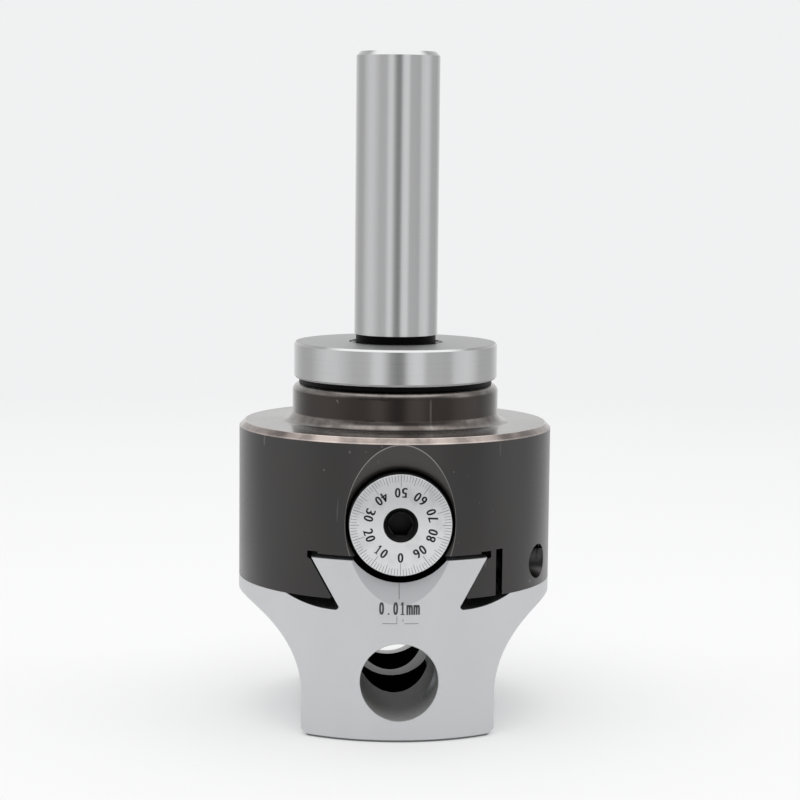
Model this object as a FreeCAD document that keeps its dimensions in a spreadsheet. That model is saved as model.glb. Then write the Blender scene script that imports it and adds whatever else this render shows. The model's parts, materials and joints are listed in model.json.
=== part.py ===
import FreeCAD, Part
import math
import os
from types import SimpleNamespace

import Sketcher

# Boring head with a straight shank arbor, in millimetres.
# +X is to the right of the dial, +Y runs from the dial to the back, +Z up the shank.
# The origin is the centre of the slide's bottom face.
SIZES = {
    # head body
    "body_dia": 75.0,
    "rim_height": 32.9,
    "body_height": 37.3,
    "shoulder_chamfer": 1.3,
    "neck_dia": 49.5,
    "neck_height": 9.1,
    "neck_fillet": 2.7,
    "neck_round": 2.0,
    # arbor and its threaded socket
    "spigot_dia": 38.1,
    "spigot_length": 17.0,
    "spigot_chamfer": 1.5,
    "socket_depth": 18.0,
    "thread_clearance": 0.05,
    "register_dia": 46.4,
    "register_height": 1.2,
    "flange_dia": 48.9,
    "flange_thickness": 8.6,
    "flange_chamfer": 0.5,
    "flange_groove_dia": 22.6,
    "flange_groove_depth": 0.6,
    "undercut_dia": 19.2,
    "undercut_height": 1.9,
    "shank_dia": 20.0,
    "shank_length": 67.2,
    "shank_chamfer": 1.0,
    "centre_hole_dia": 5.0,
    "centre_drill_dia": 2.5,
    "centre_drill_depth": 5.5,
    # dovetail
    "dovetail_height": 9.1,
    "ceiling_gap": 1.0,
    "slide_gap": 0.05,
    "dovetail_set_in": 17.3,
    "dovetail_angle": 60.0,
    "fixed_jaw_gap": 0.45,
    "gib_jaw_gap": 0.12,
    "jaw_chamfer": 0.5,
    "relief_side": 1.0,
    "relief_width": 2.4,
    "relief_height": 0.5,
    "gib_jaw_thickness": 2.2,
    "slit_width": 1.6,
    "slit_rise": 0.7,
    # slide
    "foot_set_in": 15.1,
    "foot_chamfer": 1.6,
    "edge_chamfer": 0.6,
    "waist_height": 10.0,
    "flare_radius": 20.5,
    "dip_radius": 26.0,
    "dip_depth": 2.5,
    "dip_set_out": 1.0,
    "root_drop": 1.8,
    "root_round": 0.9,
    # tool bores
    "bar_bore_dia": 18.0,
    "bar_bore_depth": 30.0,
    "offset_bore_wall": 4.0,
    "cross_bore_height": 14.0,
    "bore_chamfer": 0.3,
    # lead screw line
    "screw_rise": 8.4,
    "screw_thread_dia": 9.8,
    "screw_thread_start": 19.0,
    "screw_thread_end": 17.5,
    "screw_clearance": 0.05,
    "slide_travel": 16.0,
    "screw_hole_dia": 10.4,
    "head_seat_dia": 8.0,
    "journal_dia": 10.0,
    "socket_flats": 5.0,
    "socket_length": 5.0,
    "socket_cone_dia": 7.4,
    "socket_cone_depth": 0.9,
    "dial_dia": 23.7,
    "dial_inset": 0.25,
    "dial_thickness": 6.0,
    "dial_chamfer": 0.3,
    "dial_recess_dia": 25.0,
    "dish_dia": 36.8,
    "dish_angle": 20.9,
    "slide_recess_dia": 27.0,
    "slide_recess_step": 0.4,
    "end_float": 0.05,
    "front_washer_dia": 21.0,
    "washer_thickness": 0.8,
    "front_bush_dia": 13.0,
    "front_bush_length": 12.0,
    "rear_journal_dia": 7.0,
    "rear_bush_dia": 11.4,
    "rear_bush_length": 9.0,
    "rear_pocket_start": 27.0,
    "rear_pocket_dia": 13.2,
    "rear_washer_dia": 12.4,
    "rear_stud_dia": 6.0,
    "thin_nut_flats": 10.0,
    "thin_nut_height": 3.0,
    "stud_overrun": 1.0,
    "grub_dia": 3.0,
    "grub_length": 4.0,
    "grub_socket_flats": 1.5,
    # feed nut
    "feed_nut_dia": 14.0,
    "feed_nut_seat_depth": 9.0,
    "feed_nut_above": 7.0,
    "feed_nut_rest": 8.0,
    "slot_clearance": 0.5,
    # set screws
    "set_screw_dia": 8.0,
    "set_screw_flats": 4.0,
    "set_screw_socket": 4.5,
    "set_screw_chamfer": 0.7,
    "gib_screw_rise": 5.8,
    "gib_screw_pitch": 17.2,
    "gib_screw_length": 8.0,
    "lock_screw_length": 8.0,
    "lock_pad_dia": 6.6,
    "lock_pad_length": 3.0,
    "jaw_clearance": 0.02,
    "clamp_screw_drop": 2.6,
    "clamp_screw_length": 12.0,
    "clamp_screw_sink": 0.3,
}


class Size:
    """A cell of the sheet or a formula of cells: its FreeCAD text beside its value."""

    def __init__(self, text, value):
        self.text = text
        self.value = value

    def __add__(self, other):
        other = as_size(other)
        return Size(f"({self.text} + {other.text})", self.value + other.value)

    def __sub__(self, other):
        other = as_size(other)
        return Size(f"({self.text} - {other.text})", self.value - other.value)

    def __mul__(self, other):
        other = as_size(other)
        return Size(f"({self.text} * {other.text})", self.value * other.value)

    def __truediv__(self, other):
        other = as_size(other)
        return Size(f"({self.text} / {other.text})", self.value / other.value)

    def __neg__(self):
        return Size(f"(0 - {self.text})", -self.value)


def as_size(number):
    """Let a plain number stand in a formula."""
    if isinstance(number, Size):
        return number
    return Size(str(number), float(number))


def root(size):
    """Square root."""
    return Size(f"sqrt({size.text})", math.sqrt(size.value))


def tangent(angle):
    """Tangent of an angle in degrees."""
    return Size(f"tan({angle.text} * 1 deg)", math.tan(math.radians(angle.value)))


def make_sizes(document):
    """Put every driving dimension into the spreadsheet under its own name."""
    sheet = document.addObject("Spreadsheet::Sheet", "Sizes")
    sizes = SimpleNamespace()
    for row, (name, number) in enumerate(SIZES.items(), start=1):
        sheet.set(f"A{row}", name)
        sheet.set(f"B{row}", str(number))
        sheet.setAlias(f"B{row}", name)
        setattr(sizes, name, Size(f"Sizes.{name}", number))
    return sizes


DOC = FreeCAD.newDocument("boring_head")
S = make_sizes(DOC)
DOC.recompute()

# Heights and stations that several pieces share.
BODY_R = S.body_dia / 2
SHOULDER = S.rim_height + S.body_height
NECK_TOP = SHOULDER + S.neck_height
SOCKET_FLOOR = NECK_TOP - S.socket_depth
FLANGE_FOOT = NECK_TOP + S.register_height
FLANGE_TOP = FLANGE_FOOT + S.flange_thickness
SHANK_FOOT = FLANGE_TOP + S.undercut_height
SHANK_TOP = SHANK_FOOT + S.shank_length
SLIDE_TOP = S.rim_height + S.dovetail_height
CEILING = SLIDE_TOP + S.ceiling_gap
ROOT = S.rim_height - S.root_drop
SCREW_AXIS = SLIDE_TOP + S.screw_rise
RIM_TOP = S.rim_height - S.slide_gap
DIAL_FACE = BODY_R - S.dial_inset
DIAL_BACK = DIAL_FACE - S.dial_thickness
RECESS_FLOOR = DIAL_BACK - S.washer_thickness - S.end_float * 2
FRONT_BUSH_FOOT = RECESS_FLOOR - S.front_bush_length
REAR_BUSH_FOOT = S.rear_pocket_start - S.rear_bush_length
REAR_NUT_START = S.rear_pocket_start + S.washer_thickness + S.end_float * 2
NUT_SLOT_TOP = SCREW_AXIS + S.feed_nut_above + S.slot_clearance
BAR_BORE_R = S.bar_bore_dia / 2
BAR_BORE_PITCH = BODY_R - BAR_BORE_R - S.offset_bore_wall
CLAMP_SCREW_AXIS = S.cross_bore_height - S.clamp_screw_drop
GIB_SCREW_AXIS = S.rim_height + S.gib_screw_rise
FOOT_HALF = BODY_R - S.foot_set_in
DOVETAIL_HALF = BODY_R - S.dovetail_set_in
SCREW_HOLE_R = S.set_screw_dia / 2 + S.screw_clearance
SLIT_FRONT = DOVETAIL_HALF + S.gib_jaw_thickness
SLIT_BACK = SLIT_FRONT + S.slit_width
CLAMP_SCREW_TIP = FOOT_HALF - S.clamp_screw_sink - S.clamp_screw_length
OVERCUT = 1.0


def flank(height, gap):
    """Half width of the dovetail at a height, widened by a gap."""
    drop = (SLIDE_TOP - height) / tangent(S.dovetail_angle)
    return DOVETAIL_HALF + gap - drop


def new_body(name, place=None):
    """Start a body, set off from the origin along the axes named in place."""
    body = DOC.addObject("PartDesign::Body", name)
    body.Label = name
    for axis, size in (place or {}).items():
        body.setExpression(f"Placement.Base.{axis}", size.text)
    return body


def new_sketch(body, name, role, shift=None):
    """Add a sketch to one of the body's own planes, set off along the sketch's axes."""
    sketch = body.newObject("Sketcher::SketchObject", name)
    planes = [item for item in body.Origin.OriginFeatures if item.Role == role]
    sketch.AttachmentSupport = [(planes[0], "")]
    sketch.MapMode = "FlatFace"
    for axis, size in (shift or {}).items():
        sketch.setExpression(f"AttachmentOffset.Base.{axis}", size.text)
    return sketch


def constrain(sketch, size, *terms):
    """Add a dimension and bind it to its formula."""
    index = sketch.addConstraint(Sketcher.Constraint(*terms, size.value))
    sketch.setExpression(f"Constraints[{index}]", size.text)


def pin(sketch, edge, end, x, y):
    """Hold a point of the sketch at x and y, or on an axis where one of them is zero."""
    for kind, axis, size in (("DistanceX", -2, x), ("DistanceY", -1, y)):
        if isinstance(size, Size):
            constrain(sketch, size, kind, edge, end)
        else:
            sketch.addConstraint(Sketcher.Constraint("PointOnObject", edge, end, axis))


def arc_between(here, there, radius):
    """The shorter arc from here to there; a positive radius turns anticlockwise."""
    chord = there - here
    rise = math.sqrt(max(radius ** 2 - (chord.Length / 2) ** 2, 0.0))
    left = FreeCAD.Vector(-chord.y, chord.x, 0).normalize()
    centre = (here + there) * 0.5 + left * math.copysign(rise, radius)
    circle = Part.Circle(centre, FreeCAD.Vector(0, 0, 1), abs(radius))
    start, end = (here, there) if radius > 0 else (there, here)
    return Part.ArcOfCircle(circle, circle.parameter(start), circle.parameter(end))


def outline(sketch, corners):
    """Draw a closed loop of (x, y) corners; a third item bends the edge that leaves it."""
    first = sketch.GeometryCount
    count = len(corners)
    points = [FreeCAD.Vector(as_size(c[0]).value, as_size(c[1]).value, 0) for c in corners]
    ends = []
    for index, corner in enumerate(corners):
        here = points[index]
        there = points[(index + 1) % count]
        bend = corner[2] if len(corner) == 3 else None
        if bend is None:
            sketch.addGeometry(Part.LineSegment(here, there), False)
        else:
            sketch.addGeometry(arc_between(here, there, bend.value), False)
        ends.append((2, 1) if bend is not None and bend.value < 0 else (1, 2))
    for index, corner in enumerate(corners):
        follower = (index + 1) % count
        joint = (first + index, ends[index][1], first + follower, ends[follower][0])
        sketch.addConstraint(Sketcher.Constraint("Coincident", *joint))
        pin(sketch, first + index, ends[index][0], corner[0], corner[1])
        if len(corner) == 3:
            bend = corner[2] if corner[2].value > 0 else -corner[2]
            constrain(sketch, bend, "Radius", first + index)


def circle(sketch, x, y, radius):
    """Draw a circle about a pinned centre."""
    centre = FreeCAD.Vector(as_size(x).value, as_size(y).value, 0)
    edge = sketch.addGeometry(Part.Circle(centre, FreeCAD.Vector(0, 0, 1), radius.value), False)
    pin(sketch, edge, 3, x, y)
    constrain(sketch, radius, "Radius", edge)


def hexagon(sketch, flats):
    """Draw a hexagon about the sketch's origin with corners on its X axis."""
    side = flats / root(as_size(3))
    half = flats / 2
    corners = [(side, 0), (side / 2, half), (-side / 2, half)]
    corners += [(-side, 0), (-side / 2, -half), (side / 2, -half)]
    outline(sketch, corners)


def feature(body, kind, name, sketch):
    """Add a feature made from a sketch."""
    item = body.newObject(f"PartDesign::{kind}", name)
    item.Profile = sketch
    sketch.Visibility = False
    return item


def turn(body, kind, name, sketch, axis):
    """Revolve a sketch all the way round one of its own axes."""
    item = feature(body, kind, name, sketch)
    item.ReferenceAxis = (sketch, [axis])
    item.Angle = 360
    return item


def cut(body, name, sketch, depth=None, forward=False, both=False):
    """Pocket a sketch to a depth or through everything, against its normal unless forward."""
    item = feature(body, "Pocket", name, sketch)
    item.Reversed = forward
    if both:
        item.Midplane = True
    if depth is None:
        item.Type = "ThroughAll"
    else:
        item.setExpression("Length", depth.text)
    return item


def chamfer(body, name, base, size, chosen):
    """Chamfer the edges of a feature that a test picks out."""
    DOC.recompute()
    names = [f"Edge{n}" for n, edge in enumerate(base.Shape.Edges, start=1) if chosen(edge)]
    item = body.newObject("PartDesign::Chamfer", name)
    item.Base = (base, names)
    item.setExpression("Size", size.text)
    return item


def screw_line_cut(body, name, corners):
    """Groove a profile of (y, radius) corners round the lead screw's axis."""
    sketch = new_sketch(body, f"{name}_profile", "YZ_Plane", {"y": SCREW_AXIS})
    outline(sketch, corners)
    return turn(body, "Groove", name, sketch, "H_Axis")


def dish_corners(recess_r):
    """The shallow cone round the dial, from in front of the body down to a recess."""
    slope = tangent(S.dish_angle)
    front = -(BODY_R + OVERCUT)
    rim = S.dish_dia / 2 + as_size(OVERCUT) / slope
    inner_depth = (S.dish_dia / 2 - recess_r) * slope
    return [(front, 0), (front, rim), (inner_depth - BODY_R, recess_r)]


def make_arbor():
    """Straight shank, flange, register and threaded spigot, turned in one piece."""
    body = new_body("arbor")
    sketch = new_sketch(body, "arbor_profile", "XZ_Plane")
    spigot_r = S.spigot_dia / 2 - S.thread_clearance
    spigot_foot = NECK_TOP - S.spigot_length
    shank_r = S.shank_dia / 2
    flange_r = S.flange_dia / 2
    groove_floor = FLANGE_TOP - S.flange_groove_depth
    drill_r = S.centre_drill_dia / 2
    cone_r = S.centre_hole_dia / 2
    outline(sketch, [
        (0, spigot_foot),
        (spigot_r - S.spigot_chamfer, spigot_foot),
        (spigot_r, spigot_foot + S.spigot_chamfer),
        (spigot_r, NECK_TOP),
        (S.register_dia / 2, NECK_TOP),
        (S.register_dia / 2, FLANGE_FOOT),
        (flange_r - S.flange_chamfer, FLANGE_FOOT),
        (flange_r, FLANGE_FOOT + S.flange_chamfer),
        (flange_r, FLANGE_TOP - S.flange_chamfer),
        (flange_r - S.flange_chamfer, FLANGE_TOP),
        (S.flange_groove_dia / 2, FLANGE_TOP),
        (S.flange_groove_dia / 2, groove_floor),
        (S.undercut_dia / 2, groove_floor),
        (S.undercut_dia / 2, SHANK_FOOT),
        (shank_r, SHANK_FOOT),
        (shank_r, SHANK_TOP - S.shank_chamfer),
        (shank_r - S.shank_chamfer, SHANK_TOP),
        (cone_r, SHANK_TOP),
        (drill_r, SHANK_TOP - (cone_r - drill_r) * root(as_size(3))),
        (drill_r, SHANK_TOP - S.centre_drill_depth),
        (0, SHANK_TOP - S.centre_drill_depth - drill_r / 2),
    ])
    turn(body, "Revolution", "arbor_turned", sketch, "V_Axis")
    return body


def jaw_corners(gap):
    """One side of the dovetail channel, from below the rim up to the ceiling."""
    lip = flank(S.rim_height, gap) + S.jaw_chamfer
    relief_wall = DOVETAIL_HALF + S.relief_side
    relief_foot = SLIDE_TOP - S.relief_height
    return [
        (lip, S.rim_height - OVERCUT),
        (lip, S.rim_height),
        (flank(S.rim_height + S.jaw_chamfer, gap), S.rim_height + S.jaw_chamfer),
        (flank(relief_foot, gap), relief_foot),
        (relief_wall, SLIDE_TOP),
        (relief_wall, CEILING + S.relief_height),
        (relief_wall - S.relief_width, CEILING + S.relief_height),
        (relief_wall - S.relief_width, CEILING),
    ]


def make_head_body():
    """Round body with the dovetail channel, the slit gib jaw and the screw line."""
    body = new_body("head_body")
    sketch = new_sketch(body, "body_profile", "XZ_Plane")
    neck_r = S.neck_dia / 2
    socket_r = S.spigot_dia / 2
    outline(sketch, [
        (0, S.rim_height),
        (BODY_R, S.rim_height),
        (BODY_R, SHOULDER - S.shoulder_chamfer),
        (BODY_R - S.shoulder_chamfer, SHOULDER),
        (neck_r + S.neck_fillet, SHOULDER, -S.neck_fillet),
        (neck_r, SHOULDER + S.neck_fillet),
        (neck_r, NECK_TOP - S.neck_round, S.neck_round),
        (neck_r - S.neck_round, NECK_TOP),
        (socket_r, NECK_TOP),
        (socket_r, SOCKET_FLOOR),
        (0, SOCKET_FLOOR),
    ])
    turn(body, "Revolution", "body_turned", sketch, "V_Axis")

    channel = new_sketch(body, "channel_profile", "XZ_Plane")
    right = jaw_corners(S.gib_jaw_gap)
    left = [(-x, z) for x, z in jaw_corners(S.fixed_jaw_gap)]
    outline(channel, right + left[::-1])
    slit_foot = S.rim_height - OVERCUT
    outline(channel, [
        (SLIT_FRONT, slit_foot),
        (SLIT_BACK, slit_foot),
        (SLIT_BACK, CEILING + S.slit_rise),
        (SLIT_FRONT, CEILING + S.slit_rise),
    ])
    cut(body, "channel_and_slit", channel, both=True)

    recess_r = S.dial_recess_dia / 2
    hole_r = S.screw_hole_dia / 2
    screw_line_cut(body, "screw_line", dish_corners(recess_r) + [
        (-RECESS_FLOOR, recess_r),
        (-RECESS_FLOOR, S.front_bush_dia / 2),
        (-FRONT_BUSH_FOOT, S.front_bush_dia / 2),
        (-FRONT_BUSH_FOOT, hole_r),
        (REAR_BUSH_FOOT, hole_r),
        (REAR_BUSH_FOOT, S.rear_bush_dia / 2),
        (S.rear_pocket_start, S.rear_bush_dia / 2),
        (S.rear_pocket_start, S.rear_pocket_dia / 2),
        (BODY_R + OVERCUT, S.rear_pocket_dia / 2),
        (BODY_R + OVERCUT, 0),
    ])

    slot = new_sketch(body, "nut_slot_outline", "XY_Plane", {"z": NUT_SLOT_TOP})
    slot_r = S.feed_nut_dia / 2 + S.slot_clearance
    front_centre = -S.feed_nut_rest
    back_centre = S.slide_travel - S.feed_nut_rest
    outline(slot, [
        (slot_r, front_centre),
        (slot_r, back_centre, slot_r),
        (0, back_centre + slot_r, slot_r),
        (-slot_r, back_centre),
        (-slot_r, front_centre, slot_r),
        (0, front_centre - slot_r, slot_r),
    ])
    cut(body, "nut_slot", slot, depth=NUT_SLOT_TOP - CEILING + OVERCUT)

    screws = new_sketch(body, "gib_screw_rows", "YZ_Plane", {"z": SLIT_FRONT + S.slit_width / 2})
    circle(screws, -S.gib_screw_pitch, GIB_SCREW_AXIS, SCREW_HOLE_R)
    circle(screws, 0, GIB_SCREW_AXIS, SCREW_HOLE_R)
    circle(screws, S.gib_screw_pitch, GIB_SCREW_AXIS, SCREW_HOLE_R)
    cut(body, "gib_screw_holes", screws, forward=True)
    return body


def slide_side():
    """Right half of the slide's front outline, from the foot up to the dovetail's top."""
    beyond = BODY_R + OVERCUT
    flare_centre = FOOT_HALF + S.flare_radius
    reach = flare_centre - beyond
    flare_top = S.waist_height + root(S.flare_radius * S.flare_radius - reach * reach)
    dip_rise = S.dip_radius - S.dip_depth
    root_corner = flank(ROOT, as_size(0))
    dip_start = root_corner + S.dip_set_out
    dip_end = dip_start + root(S.dip_radius * S.dip_radius - dip_rise * dip_rise)
    dip_floor = RIM_TOP - S.dip_depth
    return [
        (FOOT_HALF - S.foot_chamfer, as_size(-OVERCUT)),
        (FOOT_HALF - S.foot_chamfer, 0),
        (FOOT_HALF, S.foot_chamfer),
        (FOOT_HALF, S.waist_height, -S.flare_radius),
        (beyond, flare_top),
        (beyond, RIM_TOP),
        (dip_end, RIM_TOP, -S.dip_radius),
        (dip_start, dip_floor, -S.root_round),
        (root_corner, ROOT),
        (DOVETAIL_HALF, SLIDE_TOP),
        (DOVETAIL_HALF, SLIDE_TOP + OVERCUT),
    ]


def mirrored(corners):
    """The other half of an outline, run back the other way with the same bends."""
    flipped = []
    for index in range(len(corners) - 1, -1, -1):
        x, z = corners[index][:2]
        bend = corners[index - 1][2:] if index else ()
        flipped.append((-x, z) + bend)
    return flipped


def make_bar_slide():
    """Dovetail slide that carries the boring bars, with its bores and clamp screw holes."""
    body = new_body("bar_slide")
    blank = new_sketch(body, "slide_blank_profile", "XZ_Plane")
    outline(blank, [
        (0, 0),
        (BODY_R - S.edge_chamfer, 0),
        (BODY_R, S.edge_chamfer),
        (BODY_R, SLIDE_TOP),
        (0, SLIDE_TOP),
    ])
    turn(body, "Revolution", "slide_blank", blank, "V_Axis")

    waste = new_sketch(body, "slide_waste", "XZ_Plane")
    side = BODY_R + 3 * OVERCUT
    outline(waste, [
        (-side, as_size(-2 * OVERCUT)),
        (side, as_size(-2 * OVERCUT)),
        (side, SLIDE_TOP + 2 * OVERCUT),
        (-side, SLIDE_TOP + 2 * OVERCUT),
    ])
    half = slide_side()
    outline(waste, half + mirrored(half))
    cut(body, "slide_form", waste, both=True)

    cross = new_sketch(body, "cross_bore_circle", "XZ_Plane")
    circle(cross, 0, S.cross_bore_height, BAR_BORE_R)
    cut(body, "cross_bore", cross, both=True)

    bars = new_sketch(body, "bar_bore_circles", "XY_Plane")
    circle(bars, 0, 0, BAR_BORE_R)
    circle(bars, 0, BAR_BORE_PITCH, BAR_BORE_R)
    cut(body, "bar_bores", bars, depth=S.bar_bore_depth, forward=True)

    recess_r = S.slide_recess_dia / 2
    recess_floor = S.slide_recess_step - RECESS_FLOOR
    screw_line_cut(body, "dial_recess", dish_corners(recess_r) + [
        (recess_floor, recess_r),
        (recess_floor, 0),
    ])

    seat = new_sketch(body, "feed_nut_seat_circle", "XY_Plane", {"z": SLIDE_TOP})
    circle(seat, 0, -S.feed_nut_rest, S.feed_nut_dia / 2)
    cut(body, "feed_nut_seat", seat, depth=S.feed_nut_seat_depth)

    screws = new_sketch(body, "clamp_screw_row", "YZ_Plane")
    circle(screws, -BAR_BORE_PITCH, CLAMP_SCREW_AXIS, SCREW_HOLE_R)
    circle(screws, 0, CLAMP_SCREW_AXIS, SCREW_HOLE_R)
    circle(screws, BAR_BORE_PITCH, CLAMP_SCREW_AXIS, SCREW_HOLE_R)
    drilled = cut(body, "clamp_screw_holes", screws, forward=True)
    chamfer(body, "bore_mouths", drilled, S.bore_chamfer, is_bore_mouth)
    return body


def is_bore_mouth(edge):
    """True for the edges where a bar bore breaks out of the foot or the round front and back."""
    radius = BAR_BORE_R.value
    box = edge.BoundBox
    on_foot = abs(box.ZMax) < 0.001 and abs(box.XLength - 2 * radius) < 0.01
    middle = 0.5 * (box.ZMin + box.ZMax)
    round_mouth = abs(middle - S.cross_bore_height.value) < 0.01 and abs(box.ZLength - 2 * radius) < 0.01
    outside = min(abs(box.YMin), abs(box.YMax)) > 0.9 * BODY_R.value
    return on_foot or (round_mouth and outside)


def make_lead_screw():
    """Lead screw: black socket head, front journal, thread, rear journal and nut stud."""
    body = new_body("lead_screw", {"z": SCREW_AXIS})
    sketch = new_sketch(body, "lead_screw_profile", "YZ_Plane")
    head_r = S.head_seat_dia / 2
    thread_r = S.screw_thread_dia / 2
    rear_r = S.rear_journal_dia / 2
    stud_r = S.rear_stud_dia / 2
    cone_floor = S.socket_cone_depth - DIAL_FACE + S.dial_inset
    socket_corner = S.socket_flats / root(as_size(3))
    stud_end = REAR_NUT_START + S.thin_nut_height * 2 + S.stud_overrun
    outline(sketch, [
        (cone_floor, 0),
        (cone_floor, socket_corner),
        (S.dial_inset - DIAL_FACE, S.socket_cone_dia / 2),
        (S.dial_inset - DIAL_FACE, head_r),
        (-DIAL_BACK, head_r),
        (-DIAL_BACK, S.journal_dia / 2),
        (-S.screw_thread_start, S.journal_dia / 2),
        (-S.screw_thread_start, thread_r),
        (S.screw_thread_end, thread_r),
        (S.screw_thread_end, rear_r),
        (S.rear_pocket_start + S.washer_thickness, rear_r),
        (S.rear_pocket_start + S.washer_thickness, stud_r),
        (stud_end, stud_r),
        (stud_end, 0),
    ])
    turn(body, "Revolution", "lead_screw_turned", sketch, "H_Axis")
    socket = new_sketch(body, "lead_screw_hexagon", "XZ_Plane", {"z": -cone_floor})
    hexagon(socket, S.socket_flats)
    cut(body, "lead_screw_socket", socket, depth=S.socket_length)
    return body


def make_dial():
    """Graduated dial, drilled from the side for its grub screw."""
    body = new_body("graduated_dial", {"z": SCREW_AXIS})
    sketch = new_sketch(body, "dial_profile", "YZ_Plane")
    dial_r = S.dial_dia / 2
    outline(sketch, [
        (-DIAL_FACE, S.head_seat_dia / 2),
        (-DIAL_FACE, dial_r - S.dial_chamfer),
        (S.dial_chamfer - DIAL_FACE, dial_r),
        (-DIAL_BACK, dial_r),
        (-DIAL_BACK, S.head_seat_dia / 2),
    ])
    turn(body, "Revolution", "dial_turned", sketch, "H_Axis")
    drill = new_sketch(body, "dial_grub_circle", "YZ_Plane")
    circle(drill, -(DIAL_FACE + DIAL_BACK) / 2, 0, S.grub_dia / 2)
    cut(body, "dial_grub_hole", drill, forward=True)
    return body


def make_ring(name, outer, inner, length, start):
    """Bush or washer on the lead screw's axis, from a station towards the back."""
    body = new_body(name, {"y": start, "z": SCREW_AXIS})
    sketch = new_sketch(body, f"{name}_circles", "XZ_Plane")
    circle(sketch, 0, 0, outer)
    circle(sketch, 0, 0, inner)
    pad = feature(body, "Pad", f"{name}_pad", sketch)
    pad.Reversed = True
    pad.setExpression("Length", length.text)
    return body


def make_thin_nut(name, start):
    """Thin hexagon nut on the lead screw's rear stud."""
    body = new_body(name, {"y": start, "z": SCREW_AXIS})
    sketch = new_sketch(body, f"{name}_outline", "XZ_Plane")
    hexagon(sketch, S.thin_nut_flats)
    circle(sketch, 0, 0, S.rear_stud_dia / 2)
    pad = feature(body, "Pad", f"{name}_pad", sketch)
    pad.Reversed = True
    pad.setExpression("Length", (S.thin_nut_height - S.end_float).text)
    return body


def make_feed_nut():
    """Barrel nut that stands in the slide and carries the lead screw's thread."""
    body = new_body("feed_nut", {"y": -S.feed_nut_rest})
    sketch = new_sketch(body, "feed_nut_profile", "XZ_Plane")
    foot = SLIDE_TOP - S.feed_nut_seat_depth
    top = SCREW_AXIS + S.feed_nut_above
    nut_r = S.feed_nut_dia / 2
    outline(sketch, [
        (0, foot),
        (nut_r - S.edge_chamfer, foot),
        (nut_r, foot + S.edge_chamfer),
        (nut_r, top - S.edge_chamfer),
        (nut_r - S.edge_chamfer, top),
        (0, top),
    ])
    turn(body, "Revolution", "feed_nut_turned", sketch, "V_Axis")
    thread = new_sketch(body, "feed_nut_thread_circle", "XZ_Plane")
    circle(thread, 0, SCREW_AXIS, S.screw_thread_dia / 2 + S.screw_clearance)
    cut(body, "feed_nut_thread", thread, both=True)
    return body


def make_set_screw(name, diameter, length, flats, socket, place):
    """Socket set screw along +X, its tip at the place and its hexagon at the far end."""
    body = new_body(name, place)
    sketch = new_sketch(body, f"{name}_profile", "XY_Plane")
    radius = diameter / 2
    bevel = S.set_screw_chamfer * diameter / S.set_screw_dia
    outline(sketch, [
        (0, 0),
        (0, radius - bevel),
        (bevel, radius),
        (length - bevel, radius),
        (length, radius - bevel),
        (length, 0),
    ])
    turn(body, "Revolution", f"{name}_turned", sketch, "H_Axis")
    key = new_sketch(body, f"{name}_hexagon", "YZ_Plane", {"z": length})
    hexagon(key, flats)
    cut(body, f"{name}_socket", key, depth=socket)
    return body


def make_lock_pad():
    """Brass plug between the lock screw and the gib jaw, so that the jaw isn't marked."""
    body = new_body("lock_pad", {"x": SLIT_FRONT + S.jaw_clearance, "z": GIB_SCREW_AXIS})
    sketch = new_sketch(body, "lock_pad_circle", "YZ_Plane")
    circle(sketch, 0, 0, S.lock_pad_dia / 2)
    pad = feature(body, "Pad", "lock_pad_pad", sketch)
    pad.setExpression("Length", S.lock_pad_length.text)
    return body


def make_set_screws():
    """Gib screws, lock screw, the three bar clamp screws and the dial's grub screw."""
    tip = SLIT_FRONT + S.jaw_clearance
    gib_places = {
        "gib_screw_front": {"x": tip, "y": -S.gib_screw_pitch, "z": GIB_SCREW_AXIS},
        "gib_screw_rear": {"x": tip, "y": S.gib_screw_pitch, "z": GIB_SCREW_AXIS},
    }
    clamp_places = {
        "clamp_screw_front": {"x": CLAMP_SCREW_TIP, "y": -BAR_BORE_PITCH, "z": CLAMP_SCREW_AXIS},
        "clamp_screw_centre": {"x": CLAMP_SCREW_TIP, "z": CLAMP_SCREW_AXIS},
        "clamp_screw_offset": {"x": CLAMP_SCREW_TIP, "y": BAR_BORE_PITCH, "z": CLAMP_SCREW_AXIS},
    }
    lock_place = {"x": tip + S.lock_pad_length, "z": GIB_SCREW_AXIS}
    form = (S.set_screw_flats, S.set_screw_socket)
    screws = [
        make_set_screw(name, S.set_screw_dia, S.gib_screw_length, *form, place)
        for name, place in gib_places.items()
    ]
    screws.append(
        make_set_screw("slide_lock_screw", S.set_screw_dia, S.lock_screw_length, *form, lock_place)
    )
    screws += [
        make_set_screw(name, S.set_screw_dia, S.clamp_screw_length, *form, place)
        for name, place in clamp_places.items()
    ]
    grub_place = {
        "x": S.head_seat_dia / 2,
        "y": -(DIAL_FACE + DIAL_BACK) / 2,
        "z": SCREW_AXIS,
    }
    screws.append(make_set_screw(
        "dial_grub_screw", S.grub_dia - S.screw_clearance, S.grub_length,
        S.grub_socket_flats, S.grub_length / 2, grub_place,
    ))
    return screws


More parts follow.
